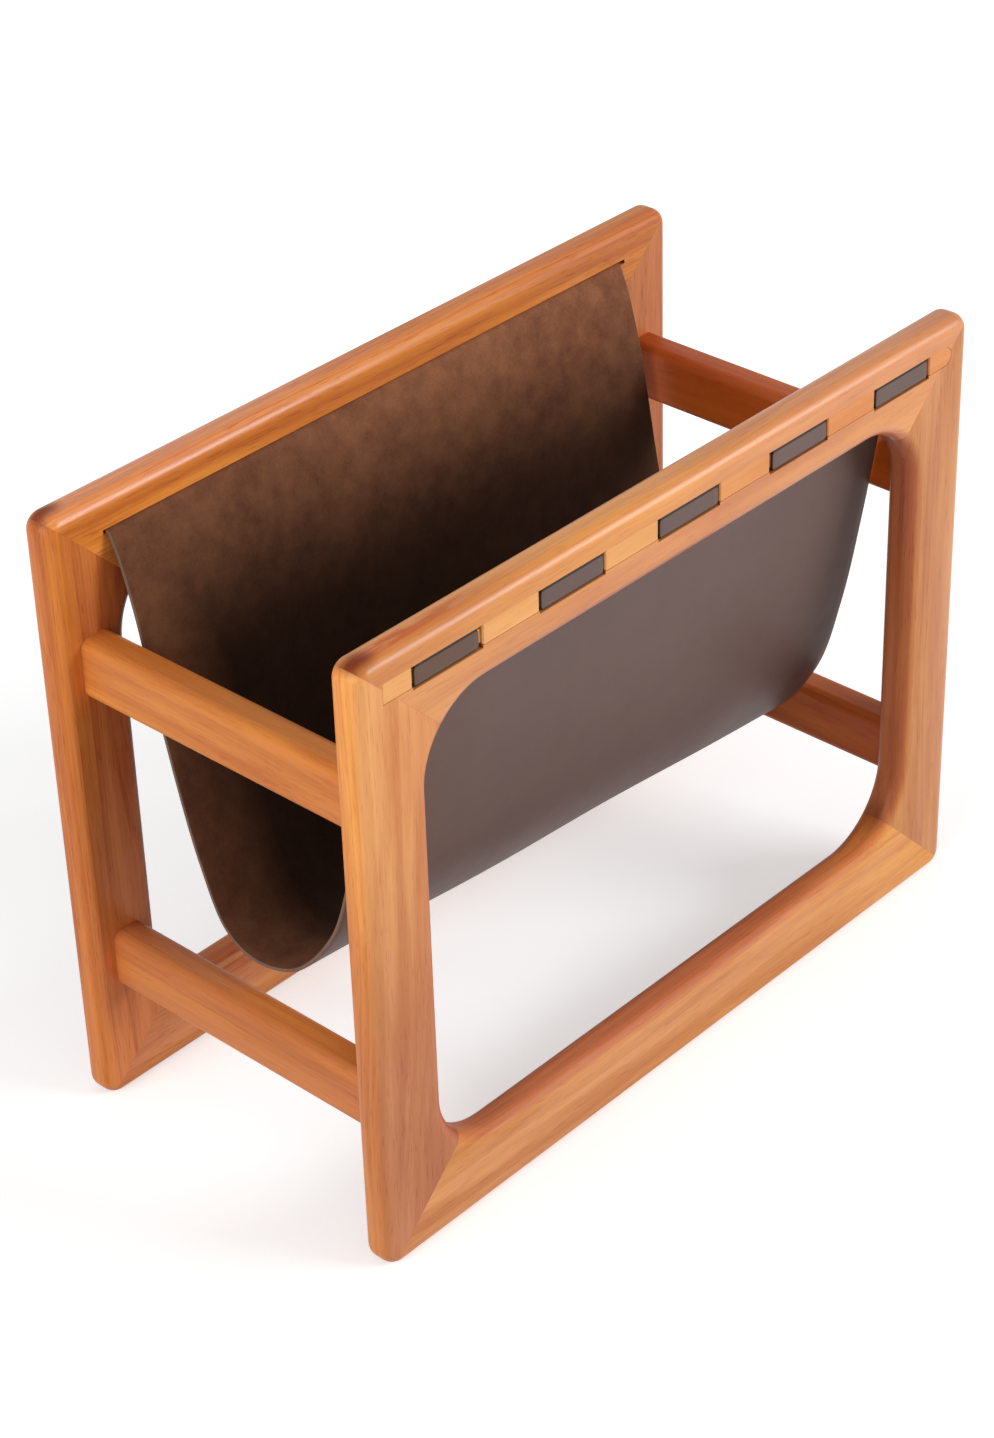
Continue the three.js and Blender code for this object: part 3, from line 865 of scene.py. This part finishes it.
@functools.cache
def wood_figure():
    """Node group: figure of a board, whose pith is on the X axis. Rings are a noise of the distance
    from the pith, which wanders, and a growth line is drawn where a slower such noise passes its
    middle. Fibres and pores are noise drawn out along the grain. The heart is a dark spot, and the
    streak leaves it along the grain and dies out: both are duller than the rest."""
    nodes, start, end = new_group(
        "Wood figure",
        {"Vector": ("Place", "Heart place"),
         "Color": ("Pale", "Gold", "Dark", "End colour", "Heart colour"),
         "Float": ("End grain", "Heart", "Streak", "Rings", "Lines", "Clouds", "Fibres", "Pores")},
        {"Color": ("Color",), "Float": ("Roughness", "Height", "Shine")})
    place = start["Place"]
    drift = nodes.vector(
        "SUBTRACT", nodes.noise(place, (3.2, 16, 16), output="Color"), (0.5, 0.5, 0.5))
    wandered = nodes.vector("ADD", place, nodes.vector("MULTIPLY", drift, (0, 0.018, 0.018)))
    from_pith = nodes.length(wandered, (0, 1, 1))
    ring = nodes.mask(nodes.noise(from_pith, 260.0, 3.0, 0.62), 0.36, 0.68)
    line = nodes.math("SUBTRACT", nodes.noise(from_pith, 110.0, 1.0), 0.5)
    line = nodes.mask(nodes.math("ABSOLUTE", line), 0.0, 0.03, 1.0, 0.0)
    stretch = nodes.mask(nodes.noise(place, (5, 30, 30)), 0.4, 0.6)
    golden = nodes.mask(nodes.noise(wandered, (2.4, 22, 22)), 0.36, 0.64)
    cloud = nodes.mask(nodes.noise(wandered, (5, 52, 52), 3), 0.34, 0.68)
    fibre = nodes.noise(wandered, (26, 620, 620), 3, 0.6)
    uneven = nodes.math("SUBTRACT", fibre, 0.5)
    pore = nodes.mask(nodes.noise(wandered, (70, 1300, 1300), 1), 0.58, 0.72)
    pore = nodes.times(pore, start["Pores"])
    dark = nodes.plus(
        nodes.times(ring, start["Rings"]), nodes.times(cloud, start["Clouds"]),
        nodes.times(uneven, start["Fibres"]), nodes.times(pore, 0.8),
        nodes.times(line, stretch, start["Lines"]))
    dark = nodes.add("Clamp", {"Value": dark})[0]
    colour = nodes.blend(golden, start["Pale"], start["Gold"])
    colour = nodes.blend(dark, colour, start["Dark"])
    colour = nodes.blend(start["End grain"], colour, start["End colour"])

    from_heart = nodes.vector("SUBTRACT", place, start["Heart place"])
    spot = nodes.mask(nodes.length(from_heart, (0.6, 1, 1)), 2 * MM, 9 * MM, 1.0, 0.0)
    spot = nodes.times(spot, start["Heart"])
    streak = nodes.times(
        nodes.mask(nodes.length(from_heart, (0, 1, 0.3)), 1.5 * MM, 6 * MM, 1.0, 0.0),
        nodes.mask(nodes.part(from_heart, "X"), 10 * MM, 125 * MM, 1.0, 0.0),
        nodes.mask(nodes.noise(place, (50, 320, 320)), 0.35, 0.56, 0.25, 1.0), start["Streak"])
    colour = nodes.blend(streak, colour, start["Heart colour"])
    colour = nodes.blend(spot, colour, nodes.tint(start["Heart colour"], HEART_SHADE))
    dull = nodes.math("MAXIMUM", spot, nodes.times(streak, 0.7))
    nodes.feed(end, {
        "Color": colour, "Shine": nodes.math("SUBTRACT", 1.0, dull),
        "Roughness": nodes.plus(
            nodes.times(uneven, 0.16), nodes.times(pore, 0.12), nodes.times(cloud, 0.05)),
        "Height": nodes.math("SUBTRACT", nodes.times(fibre, 0.4), pore)})
    return nodes.tree


# Turns that bring the grain onto X, for a board whose grain runs along X, Y or Z
GRAIN_TURNS = {"X": (0, 0, 0), "Y": (0, 0, -QUARTER), "Z": (0, QUARTER, 0)}
TEAK_LOOK = {"Rings": 0.2, "Lines": 0.14, "Clouds": 0.46, "Fibres": 0.42, "Pores": 0.3}
STRIPED_LOOK = {"Rings": 0.3, "Lines": 0.34, "Clouds": 0.46, "Fibres": 0.6, "Pores": 0.4}
BATTEN_LOOK = {"Rings": 0.15, "Lines": 0.0, "Clouds": 0.35, "Fibres": 0.6, "Pores": 0.3}
BEECH_LOOK = {"Rings": 0.2, "Lines": 0.0, "Clouds": 0.2, "Fibres": 0.6, "Pores": 0.6}
# Where the pith lies from the middle of a board: along the grain, behind its face, across it
PITH = Vector((0, 0.05, 0.012))
# The heart spot lies at the left corner of a top rail, so far in from its end, outer face and top
HEART_PLACE = Vector((6.5, 8.5, 3)) * MM
HEART_STRENGTH = 0.9
END_GRAIN_SHADE = 0.42
WOOD_ROUGHNESS, WOOD_SPECULAR, COAT_ROUGHNESS = 0.45, 0.12, 0.33
FIBRE_HEIGHT = 0.03 * MM
# Painted shade on faces inside a frame's opening, darker and redder, as shares of the board's red,
# green and blue
OPENING_SHADE = (0.82, 0.58, 0.6, 1)


def wood(name, grain, middle, colours, look, coat, seed=0.0, heart=None, rubbed=None, fades=(),
         end_grain_share=0.75, opening=None):
    """Wood whose grain runs along an axis, laid out round a board's middle and moved by its seed. A
    heart is the dark spot's place and its streak's strength. Rubbed is where along X the gloss
    changes, and its shares. A fade is an axis, the tint taken along it, and where that starts and
    ends. Faces turned to the middle of the frame's opening get painted shade: darker and redder."""
    material, nodes, shader, place = new_material(name)
    turn = GRAIN_TURNS[grain]
    middle_turned = middle.copy()
    middle_turned.rotate(Euler(turn))
    spread = Vector((1.7 * seed, 0.013 * math.sin(2.3 * seed), 0.02 * math.sin(4.1 * seed)))
    offset = PITH + spread - middle_turned
    board_place = nodes.add(
        "Mapping", {"Vector": place, "Location": offset, "Rotation": turn},
        vector_type="POINT")[0]
    normal = nodes.add("NewGeometry")["Normal"]
    facing = nodes.add(
        "Mapping", {"Vector": normal, "Rotation": turn}, vector_type="VECTOR")[0]
    along = nodes.math("ABSOLUTE", nodes.part(facing, "X"))
    inputs = {
        "Place": board_place, "End grain": nodes.mask(along, 0.35, 0.95, 0.0, end_grain_share),
        "End colour": shade(colours[2], END_GRAIN_SHADE),
        "Heart colour": shade(finishes().teak_heart), **look}
    inputs.update(zip(("Pale", "Gold", "Dark"), map(shade, colours)))
    if heart:
        inputs.update({
            "Heart place": heart[0] + offset, "Heart": HEART_STRENGTH, "Streak": heart[1]})
    figure = nodes.add("Group", inputs, node_tree=wood_figure())
    colour = figure["Color"]
    for axis, tint, first, last in fades:
        way = nodes.mask(nodes.part(place, axis), first, last)
        colour = nodes.tint(colour, nodes.blend(way, (1, 1, 1, 1), shade(tint)))
    # Painted shade: faces turned into the frame's opening are darker and redder
    if opening is not None:
        inward = nodes.vector("MULTIPLY", nodes.vector("SUBTRACT", opening, place), (1, 0, 1))
        inward = nodes.vector("NORMALIZE", inward)
        turned = nodes.mask(
            nodes.vector("DOT_PRODUCT", inward, normal, output="Value"), 0.1, 0.75)
        colour = nodes.blend(turned, colour, nodes.tint(colour, OPENING_SHADE))
    nodes.feed(shader, {
        "Base Color": colour, "Roughness": nodes.plus(figure["Roughness"], WOOD_ROUGHNESS),
        "Specular IOR Level": WOOD_SPECULAR, "Coat Weight": coat,
        "Coat Roughness": COAT_ROUGHNESS, "Normal": nodes.bump(figure["Height"], FIBRE_HEIGHT)})
    if heart:
        shine = nodes.times(figure["Shine"], coat)
        if rubbed:
            shine = nodes.times(shine, nodes.mask(nodes.part(place, "X"), *rubbed))
        nodes.feed(shader, {"Coat Weight": shine})
    return material


# Boards of another colour than the rest, as shares of the teak's red, green and blue. This is partly
# the boards' own tone and partly painted shade: the right cross rails are darkened for the shade
# that the sling and frames cast on them.
BOARD_TONES_AND_SHADE = {
    "near_top_rail": (1.0, 1.02, 0.92),
    "near_bottom_rail": (1.08, 1.27, 1.55),
    "near_left_stile": (1.22, 1.46, 1.56),
    "near_right_stile": (0.87, 0.99, 1.45),
    "far_top_rail": (1.2, 1.1, 0.75),
    "far_bottom_rail": (0.98, 1.02, 1.4),
    "far_left_stile": (0.95, 0.79, 0.7),
    "far_right_stile": (0.78, 0.67, 0.65),
    # Painted shade: the right cross rails are darkened for the shade the sling and frames cast on
    # them
    "right_upper_cross_rail": (0.65, 0.33, 0.13),
    "right_lower_cross_rail": (0.7, 0.45, 0.33),
    "left_upper_cross_rail": (1, 0.92, 0.64),
    "left_lower_cross_rail": (0.86, 0.75, 0.86),
}
# Boards whose colour changes along an axis: the shares at the end, and where the change starts and
# ends. The near left stile's darkening towards the bottom is painted shade. The battens are pale at
# the left and take the rails' tone
BATTEN_FADE = ("X", (0.81, 0.63, 0.57), -0.1, 0.12)
BOARD_FADES = {
    "near_top_rail": [("X", (0.95, 0.92, 0.96), 0.0, 0.2)],
    "near_left_stile": [
        # Painted shade: the near left stile darkens towards the bottom
        ("Z", (0.7, 0.6, 0.72), 0.3, 0.08), ("Y", (1.12, 1.02, 0.68), -0.1145, -0.109),
        ("X", (0.86, 0.76, 0.74), -0.21, -0.198)],
    "far_top_rail": [("X", (0.77, 0.76, 1.1), -0.16, 0.18)],
    "near_batten": [BATTEN_FADE],
    "far_batten": [BATTEN_FADE],
}
COATS = {
    "near_top_rail": 0.8, "far_top_rail": 0.95, "bottom_rail": 0.1, "stile": 0.3,
    "cross_rail": 0.2, "batten": 0.2}
PLAIN_BOARD = "near_left_stile"
HEART_STREAKS = {"near_top_rail": 0.85, "far_top_rail": 0.15}
# Where a top rail's finish is rubbed off along X, and the shares that are left
RUBBED = {"far_top_rail": (-0.15, 0.05, 1.15, 0.22)}


def wood_material(node):
    """The wood of a board, cross rail or batten: each has its own stretch of figure."""
    f = finishes()
    grain = "Z" if node.endswith("stile") else "Y" if node.endswith("cross_rail") else "X"
    seed = float(sum(map(ord, node)) % 17)
    coat = next(share for kind, share in COATS.items() if node.endswith(kind))
    fades = BOARD_FADES.get(node, ())
    if node.endswith("batten"):
        return wood(
            f"Batten wood {node}", grain, node_middle(node), (f.batten, f.batten, f.batten_dark),
            BATTEN_LOOK, coat, seed, fades=fades, end_grain_share=0.0)
    gold = f.teak if node == PLAIN_BOARD else f.teak_gold
    colours = [[share * value for share, value in zip(BOARD_TONES_AND_SHADE[node], colour)]
               for colour in (f.teak, gold, f.teak_dark)]
    heart = None
    if node in HEART_STREAKS:
        low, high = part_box(node)
        y = low.y + HEART_PLACE.y if node.startswith("near") else high.y - HEART_PLACE.y
        spot = Vector((low.x + HEART_PLACE.x, y, high.z - HEART_PLACE.z))
        heart = spot, HEART_STREAKS[node]
    opening = Vector((0, 0, sizes().height / 2)) if grain != "Y" else None
    look = STRIPED_LOOK if node.startswith("far") else TEAK_LOOK
    return wood(f"Teak {node}", grain, node_middle(node), colours, look, coat, seed,
                heart, RUBBED.get(node), fades, opening=opening)


@functools.cache
def hide_mottle():
    """Node group: cloudy tone of a hide, from three noises, coarse to fine."""
    nodes, start, end = new_group(
        "Hide mottle", {"Vector": ("Place",), "Float": ("Coarse", "Fine")},
        {"Float": ("Tone", "Nap")})
    coarse, middle, nap = (
        nodes.noise(start["Place"], (fineness,) * 3, detail, roughness)
        for fineness, detail, roughness in ((14, 4, 0.6), (85, 4, 0.57), (900, 2, 0.6)))
    tone = nodes.times(nodes.math("SUBTRACT", coarse, 0.5), start["Coarse"])
    fine = nodes.plus(middle, nodes.times(nap, 0.5))
    fine = nodes.times(nodes.math("SUBTRACT", fine, 0.75), start["Fine"])
    tone = nodes.add("Clamp", {"Value": nodes.plus(tone, fine, 0.5)})[0]
    nodes.feed(end, {"Tone": tone, "Nap": nap})
    return nodes.tree


def mottled_material(name, coarse, fine):
    """A new material, and the mottle on it."""
    material, nodes, shader, place = new_material(name)
    inputs = {"Place": place, "Coarse": coarse, "Fine": fine}
    mottle = nodes.add("Group", inputs, node_tree=hide_mottle())
    return material, nodes, shader, place, mottle


# Painted shade: the smooth leather darkens towards the bottom
LOW_LEATHER_SHADE, LOW_LEATHER_SHADE_Z = (0.72, 0.63, 0.61, 1), (0.09, 0.29)
LEFT_LEATHER, LEFT_LEATHER_X = (1.0, 0.88, 0.72, 1), (-0.19, -0.1)
# Painted shade: a near-black band for the shadow in the gaps round each tab, on its turns and cut
# edges
TAB_GAP_SHADE, GAP_SHADE_BAND = (0.02, 0.012, 0.009, 1), (1.7 * MM, 1.1 * MM)
PEBBLES_PER_METRE = 1100.0


def smooth_leather():
    """Outer face: fine pebbled grain over a faint mottle, with painted shade that darkens it towards
    the bottom, browner at its left end, and with painted shade where a tab turns round the batten."""
    s = sizes()
    material, nodes, shader, place, mottle = mottled_material("Smooth leather", 0.9, 0.5)
    x, y, z = (nodes.part(place, axis) for axis in "XYZ")
    colour = finishes().leather
    tone = nodes.blend(mottle["Tone"], shade(colour, 0.9), shade(colour, 1.1))
    tone = nodes.blend(nodes.mask(z, *LOW_LEATHER_SHADE_Z), nodes.tint(tone, LOW_LEATHER_SHADE), tone)
    browner = nodes.mask(x, *LEFT_LEATHER_X, 1.0, 0.0)
    tone = nodes.blend(browner, tone, nodes.tint(tone, LEFT_LEATHER))
    from_slit = nodes.math("ABSOLUTE", nodes.math("SUBTRACT", z, slit_z()))
    turn = s.groove_height / 2 - TAB_SLACK
    # Painted shade in the gap where a tab turns round the batten
    gap_shade = nodes.times(
        nodes.mask(from_slit, *(turn - band for band in GAP_SHADE_BAND)),
        nodes.math("GREATER_THAN", nodes.math("ABSOLUTE", y), (s.depth - s.groove_depth) / 2))
    cells = nodes.add(
        "TexVoronoi", {"Vector": place, "Scale": PEBBLES_PER_METRE}, feature="SMOOTH_F1")
    nodes.feed(shader, {
        "Base Color": nodes.blend(gap_shade, tone, TAB_GAP_SHADE), "Specular IOR Level": 0.16,
        "Roughness": nodes.mask(mottle["Tone"], 0.0, 1.0, 0.5, 0.42),
        "Normal": nodes.bump(cells["Distance"], 0.04 * MM, 0.6)})
    return material


# Where the suede's painted light and shade starts and ends along an axis, and its shares there: shade
# down the sling, less of it at its open left and right ends, and from left to right, darker at the
# left and lighter than its own colour at the right
SUEDE_DEPTH_SHADE = (0.245, 0.35, 0.16, 1.0)
SUEDE_LEFT_END = (-0.19, -0.13, 1.0, 0.0)
SUEDE_RIGHT_END = (0.14, 0.2, 0.0, 0.2)
SUEDE_SHADE_ACROSS = (-0.2, 0.2, 0.78, 1.36)


def suede():
    """Inner face: brushed nap in clouds of light and dark. Painted shade darkens its deep middle,
    more than its two open ends, and more at its left than at its right."""
    material, nodes, shader, place, mottle = mottled_material("Suede", 1.2, 1.6)
    f = finishes()
    x, z = (nodes.part(place, axis) for axis in "XZ")
    # Painted shade: darker down the sling, less so at its open ends, and lighter towards its right
    open_end = nodes.math(
        "MAXIMUM", nodes.mask(x, *SUEDE_LEFT_END), nodes.mask(x, *SUEDE_RIGHT_END))
    painted_shade = nodes.math("MAXIMUM", nodes.mask(z, *SUEDE_DEPTH_SHADE), open_end)
    painted_shade = nodes.times(painted_shade, nodes.mask(x, *SUEDE_SHADE_ACROSS))
    shade_rgb = nodes.add("CombineXYZ", {0: painted_shade, 1: painted_shade, 2: painted_shade})[0]
    tone = nodes.blend(mottle["Tone"], shade(f.suede_dark), shade(f.suede))
    nodes.feed(shader, {
        "Base Color": nodes.tint(tone, shade_rgb), "Roughness": 0.95, "Specular IOR Level": 0.15,
        "Sheen Weight": 0.12, "Sheen Tint": shade(f.suede),
        "Normal": nodes.bump(mottle["Nap"], 0.15 * MM, 0.7)})
    return material


def cut_leather():
    """Cut edge: pale raw fibres, with painted shade that darkens them on the tabs."""
    material, nodes, shader, place, mottle = mottled_material("Cut leather edge", 1.0, 1.6)
    colour = finishes().cut_edge
    tone = nodes.blend(mottle["Tone"], shade(colour, 0.7), shade(colour, 1.1))
    # Painted shade on the tabs' cut edges, which stand in the gaps beside the batten
    on_tab = nodes.math(
        "GREATER_THAN", nodes.math("ABSOLUTE", nodes.part(place, "Y")), half_gap())
    nodes.feed(shader, {
        "Base Color": nodes.blend(on_tab, tone, TAB_GAP_SHADE), "Roughness": 0.85,
        "Normal": nodes.bump(mottle["Nap"], 0.1 * MM, 0.5)})
    return material


# Stage

FLOOR_REACH = 8.0
CAMERA_PLACE = (-1.11773, -1.03431, 1.16766)
CAMERA_TURN = (56.7585, 1.5926, -47.7055)
CAMERA_LENS = 84.245
WINDOW_PLACE, WINDOW_SIZE = Vector((1.28, -1.93, 1.10)), (1.4, 0.9)
FILL_PLACE, FILL_SIZE = Vector((-2.4, 0.0, 1.1)), (2.0, 1.6)
FLOOR_SHADE = (0.86, 0.86, 0.86, 1)
# How the floor's glow grows with the distance from the rack, in two steps
FLOOR_GLOW, MORE_GLOW = (0.25, 0.9, 0.42, 0.6), (1.2, 3.0, 0.0, 0.1)
WHITE = (1, 1, 1, 1)


def direct_view(nodes):
    """One for what the camera sees straight, in gloss or through glass, and else zero."""
    path = nodes.add("LightPath")
    seen = nodes.math("MAXIMUM", path["Is Camera Ray"], path["Is Glossy Ray"])
    return nodes.math("MAXIMUM", seen, path["Is Transmission Ray"])


def floor_material():
    """Pale floor. The camera sees it near white, with the object's shadow on it."""
    material = bpy.data.materials.new("Pale floor")
    material.use_nodes = True
    nodes = Nodes(material.node_tree)
    material.node_tree.nodes.remove(material.node_tree.nodes["Principled BSDF"])
    real, shaded = (nodes.add("BsdfDiffuse", {"Color": colour})[0]
                    for colour in (shade(finishes().floor), FLOOR_SHADE))
    place = nodes.add("TexCoord")["Object"]
    distance = nodes.vector("LENGTH", place, output="Value")
    strength = nodes.plus(nodes.mask(distance, *FLOOR_GLOW), nodes.mask(distance, *MORE_GLOW))
    glow = nodes.add("Emission", {"Color": WHITE, "Strength": strength})[0]
    seen = nodes.add("AddShader", {0: shaded, 1: glow})[0]
    shader = nodes.add("MixShader", {0: direct_view(nodes), 1: real, 2: seen})[0]
    nodes.feed(material.node_tree.nodes["Material Output"].inputs, {"Surface": shader})
    return material


def area_light(name, power, place, size):
    """A rectangle of light that faces the rack's near left stile."""
    light = bpy.data.lights.new(name, "AREA")
    light.shape = "RECTANGLE"
    light.size, light.size_y = size
    light.energy = power
    lamp = add_object(name, light)
    lamp.location = place
    facing = node_middle("near_left_stile") - place
    lamp.rotation_euler = facing.to_track_quat("-Z", "Y").to_euler()


class RACK_OT_stage(bpy.types.Operator):
    """Make the floor, the light and the camera"""

    bl_idname = "rack.stage"
    bl_label = "Stage"

    def execute(self, context):
        scene = context.scene
        light = scene.rack_light
        mesh = bpy.data.meshes.new("floor")
        corners = np.array([[-1, -1, 0], [1, -1, 0], [1, 1, 0], [-1, 1, 0]]) * FLOOR_REACH
        mesh.from_pydata(corners.tolist(), [], [(0, 1, 2, 3)])
        mesh.materials.append(floor_material())
        add_object("floor", mesh)

        world = bpy.data.worlds.new("White room")
        world.use_nodes = True
        scene.world = world
        nodes = Nodes(world.node_tree)
        strength = nodes.add(
            "Mix", {0: direct_view(nodes), 2: light.dome, 3: 1.0}, data_type="FLOAT")[0]
        background = world.node_tree.nodes["Background"].inputs
        nodes.feed(background, {"Color": WHITE, "Strength": strength})

        area_light("window", light.window, WINDOW_PLACE, WINDOW_SIZE)
        area_light("fill", light.fill, FILL_PLACE, FILL_SIZE)

        lens = bpy.data.cameras.new("camera")
        lens.lens = CAMERA_LENS
        camera = scene.camera = add_object("camera", lens)
        camera.location = CAMERA_PLACE
        camera.rotation_euler = [math.radians(angle) for angle in CAMERA_TURN]
        scene.view_settings.view_transform = "Standard"
        return {"FINISHED"}


class RACK_PT_sidebar(bpy.types.Panel):
    """Sizes, finishes and pieces of the rack"""

    bl_idname = "RACK_PT_sidebar"
    bl_label = "Magazine rack"
    bl_space_type = "VIEW_3D"
    bl_region_type = "UI"
    bl_category = "Rack"

    def draw(self, context):
        """Lists the settings, then the operators."""
        for group in SETTINGS:
            settings = getattr(context.scene, group)
            column = self.layout.column(align=True)
            for name in settings.__annotations__:
                column.prop(settings, name)
        for operator in OPERATORS:
            self.layout.operator(operator.bl_idname)


OPERATORS = (
    RACK_OT_boards, RACK_OT_cross_rails, RACK_OT_battens, RACK_OT_sling, RACK_OT_hidden_joints,
    RACK_OT_stage)
SETTINGS = {"rack_sizes": RackSizes, "rack_finishes": RackFinishes, "rack_light": RackLight}


def register():
    """Adds the classes, and the settings to the scene."""
    for made in (*SETTINGS.values(), *OPERATORS, RACK_PT_sidebar):
        bpy.utils.register_class(made)
    for name, group in SETTINGS.items():
        setattr(bpy.types.Scene, name, bpy.props.PointerProperty(type=group))


def unregister():
    """Takes away what register adds."""
    for name in SETTINGS:
        delattr(bpy.types.Scene, name)
    for made in (RACK_PT_sidebar, *reversed(OPERATORS), *SETTINGS.values()):
        bpy.utils.unregister_class(made)


def main():
    """Makes the rack and its stage."""
    register()
    bpy.ops.rack.boards()
    bpy.ops.rack.cross_rails()
    bpy.ops.rack.battens()
    bpy.ops.rack.sling()
    bpy.ops.rack.hidden_joints()
    bpy.ops.rack.stage()


if __name__ == "__main__":
    main()
